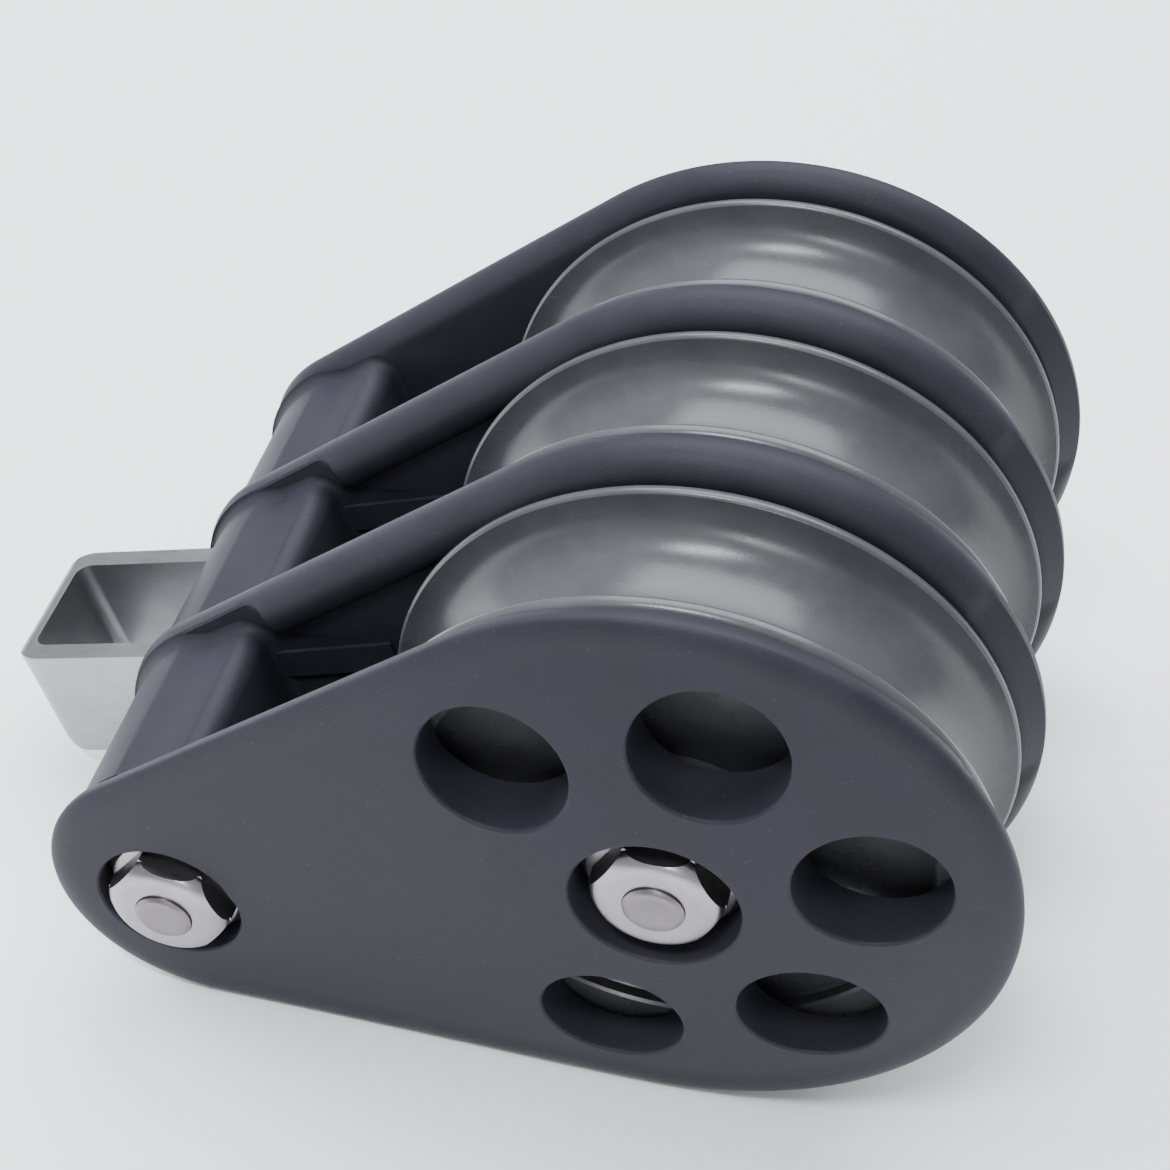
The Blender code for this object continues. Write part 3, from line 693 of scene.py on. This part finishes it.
def add_strap():
    ends = (-STRAP_CUT, STRAP_CUT)
    plan = strap_plan()
    strap = make("eye_strap_bent", ring_solid([[(x, y, z) for x, y in plan] for z in ends]), STRAP)
    combine(strap, [make("strap_side", extruded(strap_side_outline(), ends))], "INTERSECT")
    combine(strap, [bore("pin_way", *ends)], "DIFFERENCE")
    soften(strap, STRAP_EDGE_ROUND, 40)
    place(strap, "block", ["eye_strap"], BLOCK @ PIN)


# ---- head spacers -------------------------------------------------------
SPACER_RADIUS = HEAD_RADIUS - 1.0 * MM
SPACER_BACK = 39.0 * MM         # from the axle to the face that looks at the sheave
SPACER_CORNER_HEIGHT = SPACER_RADIUS + 0.5 * MM
SPACER_CORNER_ROUND = 2.0 * MM
SPACER_RIDGE_ANGLE = math.radians(106)
SPACER_ROUND_STEPS = 60
SPACER_VALLEY = (-0.9 * MM, 12.75 * MM)  # shallow dip between the round head and the corner
SPACER_ROOT_ROUND = 1.0 * MM    # fillet where a spacer meets the plate on its far side
SPACER_ROOT_RISE = 0.8          # the fillet's height as a share of its length
SPACER_ROOT_STEPS = 6
SPACER_JOIN = 0.05 * MM         # gap to the plates
SLOT_ROOM = 0.25 * MM


def spacer_outline(grow):
    """Round head, two upper facets and a flat back, grown outwards."""
    ridge = SPACER_RIDGE_ANGLE
    round_part = arc(-HEAD_ARC_REACH, 0, SPACER_RADIUS + grow, ridge, 2 * math.pi - ridge,
                     SPACER_ROUND_STEPS)
    corner_x = -SPACER_BACK - SPACER_CORNER_ROUND
    corner_z = SPACER_CORNER_HEIGHT - SPACER_CORNER_ROUND
    radius = SPACER_CORNER_ROUND + grow
    lower = arc(corner_x, -corner_z, radius, -math.pi / 2, 0, CORNER_STEPS)
    upper = arc(corner_x, corner_z, radius, 0, math.pi / 2, CORNER_STEPS)
    valley_x = -HEAD_ARC_REACH + SPACER_VALLEY[0]
    valley_z = SPACER_VALLEY[1] + grow
    return round_part + [(valley_x, -valley_z)] + lower + upper + [(valley_x, valley_z)]


def bay_ends(label):
    """Where a bay's walls stand, from the near side to the far side."""
    inner, outer = DIVIDER_MIDDLE + WEB_HALF, CHEEK_INNER_FACE
    half = DIVIDER_MIDDLE - WEB_HALF
    return {"near": (-outer, -inner), "middle": (-half, half), "far": (inner, outer)}[label]


def strap_slots():
    """Cutters for the strap's two legs."""
    low, high = STRAP_LOW - SLOT_ROOM, STRAP_HIGH + SLOT_ROOM
    back = STRAP_HEAD_REACH + SLOT_ROOM
    outline = [(-EYE_REACH, low), (back, low), (back, high), (-EYE_REACH, high)]
    tools = []
    for side in (-1, 1):
        ends = sorted((side * (LEG_INNER - SLOT_ROOM), side * (LEG_OUTER + SLOT_ROOM)))
        tool = make("strap_slot", extruded(outline, ends))
        tool.matrix_world = PIN
        tools.append(tool)
    return tools


def add_spacer(label):
    low, high = bay_ends(label)
    low, high = low + SPACER_JOIN, high - SPACER_JOIN
    rings = []
    for k in range(SPACER_ROOT_STEPS + 1):
        angle = math.pi / 2 * k / SPACER_ROOT_STEPS
        y = high - SPACER_ROOT_ROUND * (1 - math.cos(angle))
        grow = SPACER_ROOT_ROUND * (1 - math.sin(angle))
        rings.append((y, SPACER_ROOT_RISE * grow))
    rings.append((low, 0.0))
    solid = ring_solid([[(x, y, z) for x, z in spacer_outline(grow)] for y, grow in rings])
    spacer = make(f"head_spacer_{label}_block", solid, PLATE)
    tools = [bore("bolt_way", low - OVERCUT, high + OVERCUT, HEAD_PIN_REACH)]
    if label == "middle":
        tools += strap_slots()
    combine(spacer, tools, "DIFFERENCE")
    place(spacer, "block", [f"head_spacer_{label}"])


# ---- bolts, nuts and washers --------------------------------------------
HEX_CORNER = 10.0 * MM / math.sqrt(3)
HEX_DOME = 1.5 * MM             # how far the corners fall below the crown
HEX_CROWN = 3.7 * MM            # radius of the flat crown
HEX_CORNER_CUT = 0.15 * MM
HEX_DOME_STEPS = 14
HEX_SHARP = 24                  # degrees
HEX_EDGE_ROUND = 0.16 * MM
HEX_TURN_AXLE, HEX_TURN_HEAD = math.radians(-18), math.radians(-26)
HEX_HEIGHT_AXLE, HEX_HEIGHT_HEAD = 3.2 * MM, 2.9 * MM

WASHER_THICK = 0.7 * MM
WASHER_GAP = 0.3 * MM
WASHER_MARGIN = 0.7 * MM        # from the washer's edge to the pocket's wall
WASHER_BORE = BOLT_RADIUS + 0.1 * MM
WASHER_EDGE = 0.22 * MM

BOLT_TIP_PROUD = 0.5 * MM
BOLT_TIP_RADIUS = 2.3 * MM
BOLT_END_RADIUS = 2.6 * MM      # the end of the bolt, inside the nut
BOLT_STEPS = 64
NUT_BORE = BOLT_END_RADIUS + 0.06 * MM


def hexagon(turn):
    return [(HEX_CORNER * math.cos(turn + k * math.pi / 3),
             HEX_CORNER * math.sin(turn + k * math.pi / 3)) for k in range(6)]


def dome_profile(side, base, height):
    """A cap wider than the hexagon, which rounds off its corners down to the crown."""
    rings = [(HEX_CORNER + MM, base - 0.2 * MM), (HEX_CORNER + MM, base + height / 3)]
    for k in range(HEX_DOME_STEPS + 1):
        angle = math.pi / 2 * k / HEX_DOME_STEPS
        radius = HEX_CROWN + (HEX_CORNER - HEX_CORNER_CUT - HEX_CROWN) * math.cos(angle)
        rings.append((radius, base + height - HEX_DOME * (1 - math.sin(angle))))
    return [(radius, side * y) for radius, y in rings]


def add_hexagon(name, side, seat, height, turn, reach, nodes=None):
    """A nut where it stands for a node, otherwise a bolt's head."""
    ends = sorted((side * seat, side * (seat + height)))
    piece = make(name, extruded(hexagon(turn), ends), STEEL)
    dome = make("dome", turned(dome_profile(side, seat, height)))
    combine(piece, [dome], "INTERSECT", HEX_SHARP)
    if nodes:
        ends = sorted((side * (seat - OVERCUT), side * (seat + height + OVERCUT)))
        combine(piece, [bore("bolt_way", *ends, radius=NUT_BORE)], "DIFFERENCE", HEX_SHARP)
    soften(piece, HEX_EDGE_ROUND, HEX_SHARP)
    place(piece, "block", nodes, BLOCK @ Matrix.Translation((-reach, 0, 0)))


def washer_profile(side, low, high, radius):
    edge = WASHER_EDGE
    return [(WASHER_BORE, side * low), (radius, side * low), (radius, side * (high - edge)),
            (radius - 0.3 * edge, side * (high - 0.3 * edge)), (radius - edge, side * high),
            (WASHER_BORE, side * high)]


def bolt_profile(seat, height):
    """From the dished tip at the nut's side to inside the bolt's head."""
    tip = seat + height + BOLT_TIP_PROUD
    dish, tip_edge, chamfer = 0.16 * MM, 0.06 * MM, 0.3 * MM
    return [(0.6 * MM, -tip + dish), (1.4 * MM, -tip + 0.4 * dish),
            (BOLT_TIP_RADIUS - 0.15 * MM, -tip), (BOLT_TIP_RADIUS, -tip + tip_edge),
            (BOLT_END_RADIUS, -tip + chamfer), (BOLT_END_RADIUS, -seat + 0.1 * MM),
            (BOLT_RADIUS, -seat + 0.3 * MM), (BOLT_RADIUS, seat + 0.5 * MM)]


def add_fastener(label, pocket, height, turn):
    """Bolt, nut and two washers in a pair of pockets."""
    reach, pocket_radius, pocket_floor = pocket
    floor = CHEEK_INNER_FACE + pocket_floor
    seat = floor + 2 * WASHER_GAP + WASHER_THICK
    centre = BLOCK @ Matrix.Translation((-reach, 0, 0))
    for side_name, side in SIDES:
        profile = washer_profile(side, floor + 0.05 * MM, seat - 0.02 * MM,
                                 pocket_radius - WASHER_MARGIN)
        ring = make(f"{label}_washer_{side_name}_ring", turned(profile, closed=True), STEEL)
        place(ring, "block", [f"{label}_washer_{side_name}"], centre)
    add_hexagon(label + "_nut_domed", -1, seat, height, turn, reach, [label + "_nut"])
    add_hexagon(label + "_bolt_head_domed", 1, seat, height, turn, reach)
    bolt = make(label + "_bolt_shank", turned(bolt_profile(seat, height), BOLT_STEPS), BOLT)
    place(bolt, "block", [label + "_bolt"], centre)


# ---- build the object ---------------------------------------------------
for side_label, sign in SIDES:
    add_cheek(side_label, sign)
    add_divider(side_label, sign)
for bay_label, bay_middle in BAYS:
    add_sheave(bay_label, bay_middle)
    add_spacer(bay_label)
add_strap()
add_fastener("axle", AXLE_POCKET, HEX_HEIGHT_AXLE, HEX_TURN_AXLE)
add_fastener("head", HEAD_POCKET, HEX_HEIGHT_HEAD, HEX_TURN_HEAD)

# the bushes and sleeves stay as they are in the CAD and only take a finish
for node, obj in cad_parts.items():
    if node.startswith("sheave_bush"):
        finish = BUSH
    elif node.startswith("axle_sleeve"):
        finish = STEEL
    else:
        continue
    for slot in obj.material_slots:
        slot.material = finish

# ---- floor, light and camera --------------------------------------------
COOL = (0.93, 0.96, 1.0)
WORLD_STRENGTH = 0.62
FLOOR_HALF = 3.0
FLOOR_DROP = 0.5 * MM
FLOOR_TONE = (0.97, 0.97, 0.97, 1)

CAMERA_AZIMUTH = math.radians(12.206)       # from -Y towards the round end
CAMERA_ELEVATION = math.radians(44.075)
CAMERA_ROLL = math.radians(1.523)
CAMERA_SPOT = (16.9 * MM, -141.75 * MM, 141.3 * MM)     # from the axle
CAMERA_LENS = 67.26             # millimetres, for a sensor 36 mm wide


def area_light(name, spot, size, power):
    """A cool rectangular light aimed at the axle."""
    data = bpy.data.lights.new(name, "AREA")
    data.shape = "RECTANGLE"
    data.size, data.size_y = size
    data.energy = power
    data.color = COOL
    light = bpy.data.objects.new(name, data)
    bpy.context.scene.collection.objects.link(light)
    light.location = spot
    light.rotation_euler = (AXLE - Vector(spot)).to_track_quat("-Z", "Y").to_euler()
    return light


def add_lights():
    area_light("top_back", spot=(0.00, 0.40, 0.75), size=(0.9, 0.7), power=13.0)
    left = area_light("left", spot=(-0.62, 0.05, 0.52), size=(0.5, 0.5), power=7.5)
    left.visible_glossy = False     # it only lifts the matt head spacers
    area_light("over_front", spot=(-0.10, -0.34, 0.80), size=(0.28, 0.09), power=5.0)
    low = area_light("low_front", spot=(0.10, -0.78, 0.45), size=(0.10, 0.07), power=1.6)
    low.visible_diffuse = False     # it only gleams on the sheaves


def add_floor():
    half = FLOOR_HALF
    mesh_data = bmesh.new()
    corners = [mesh_data.verts.new((x, y, 0)) for x, y in
               ((-half, -half), (half, -half), (half, half), (-half, half))]
    mesh_data.faces.new(corners)
    n = Nodes("pale_floor")
    matt = n.finish(Base_Color=FLOOR_TONE, Roughness=0.9, Specular_IOR_Level=0.1)
    floor = make("floor", mesh_data, matt)
    floor.location.z = -FLOOR_DROP


def add_world():
    world = bpy.data.worlds.new("studio")
    world.use_nodes = True
    background = world.node_tree.nodes["Background"]
    background.inputs["Color"].default_value = (*COOL, 1)
    background.inputs["Strength"].default_value = WORLD_STRENGTH
    bpy.context.scene.world = world


def add_camera():
    """The view from above the near side, a little towards the round end."""
    data = bpy.data.cameras.new("camera")
    data.sensor_width = 36.0
    data.lens = CAMERA_LENS
    data.clip_start = 0.01
    camera = bpy.data.objects.new("camera", data)
    bpy.context.scene.collection.objects.link(camera)
    camera.matrix_world = (Matrix.Translation(AXLE + Vector(CAMERA_SPOT))
                           @ Matrix.Rotation(CAMERA_AZIMUTH, 4, "Z")
                           @ Matrix.Rotation(math.pi / 2 - CAMERA_ELEVATION, 4, "X")
                           @ Matrix.Rotation(CAMERA_ROLL, 4, "Z"))
    bpy.context.scene.camera = camera


add_floor()
add_world()
add_camera()
add_lights()

bpy.context.view_layer.update()
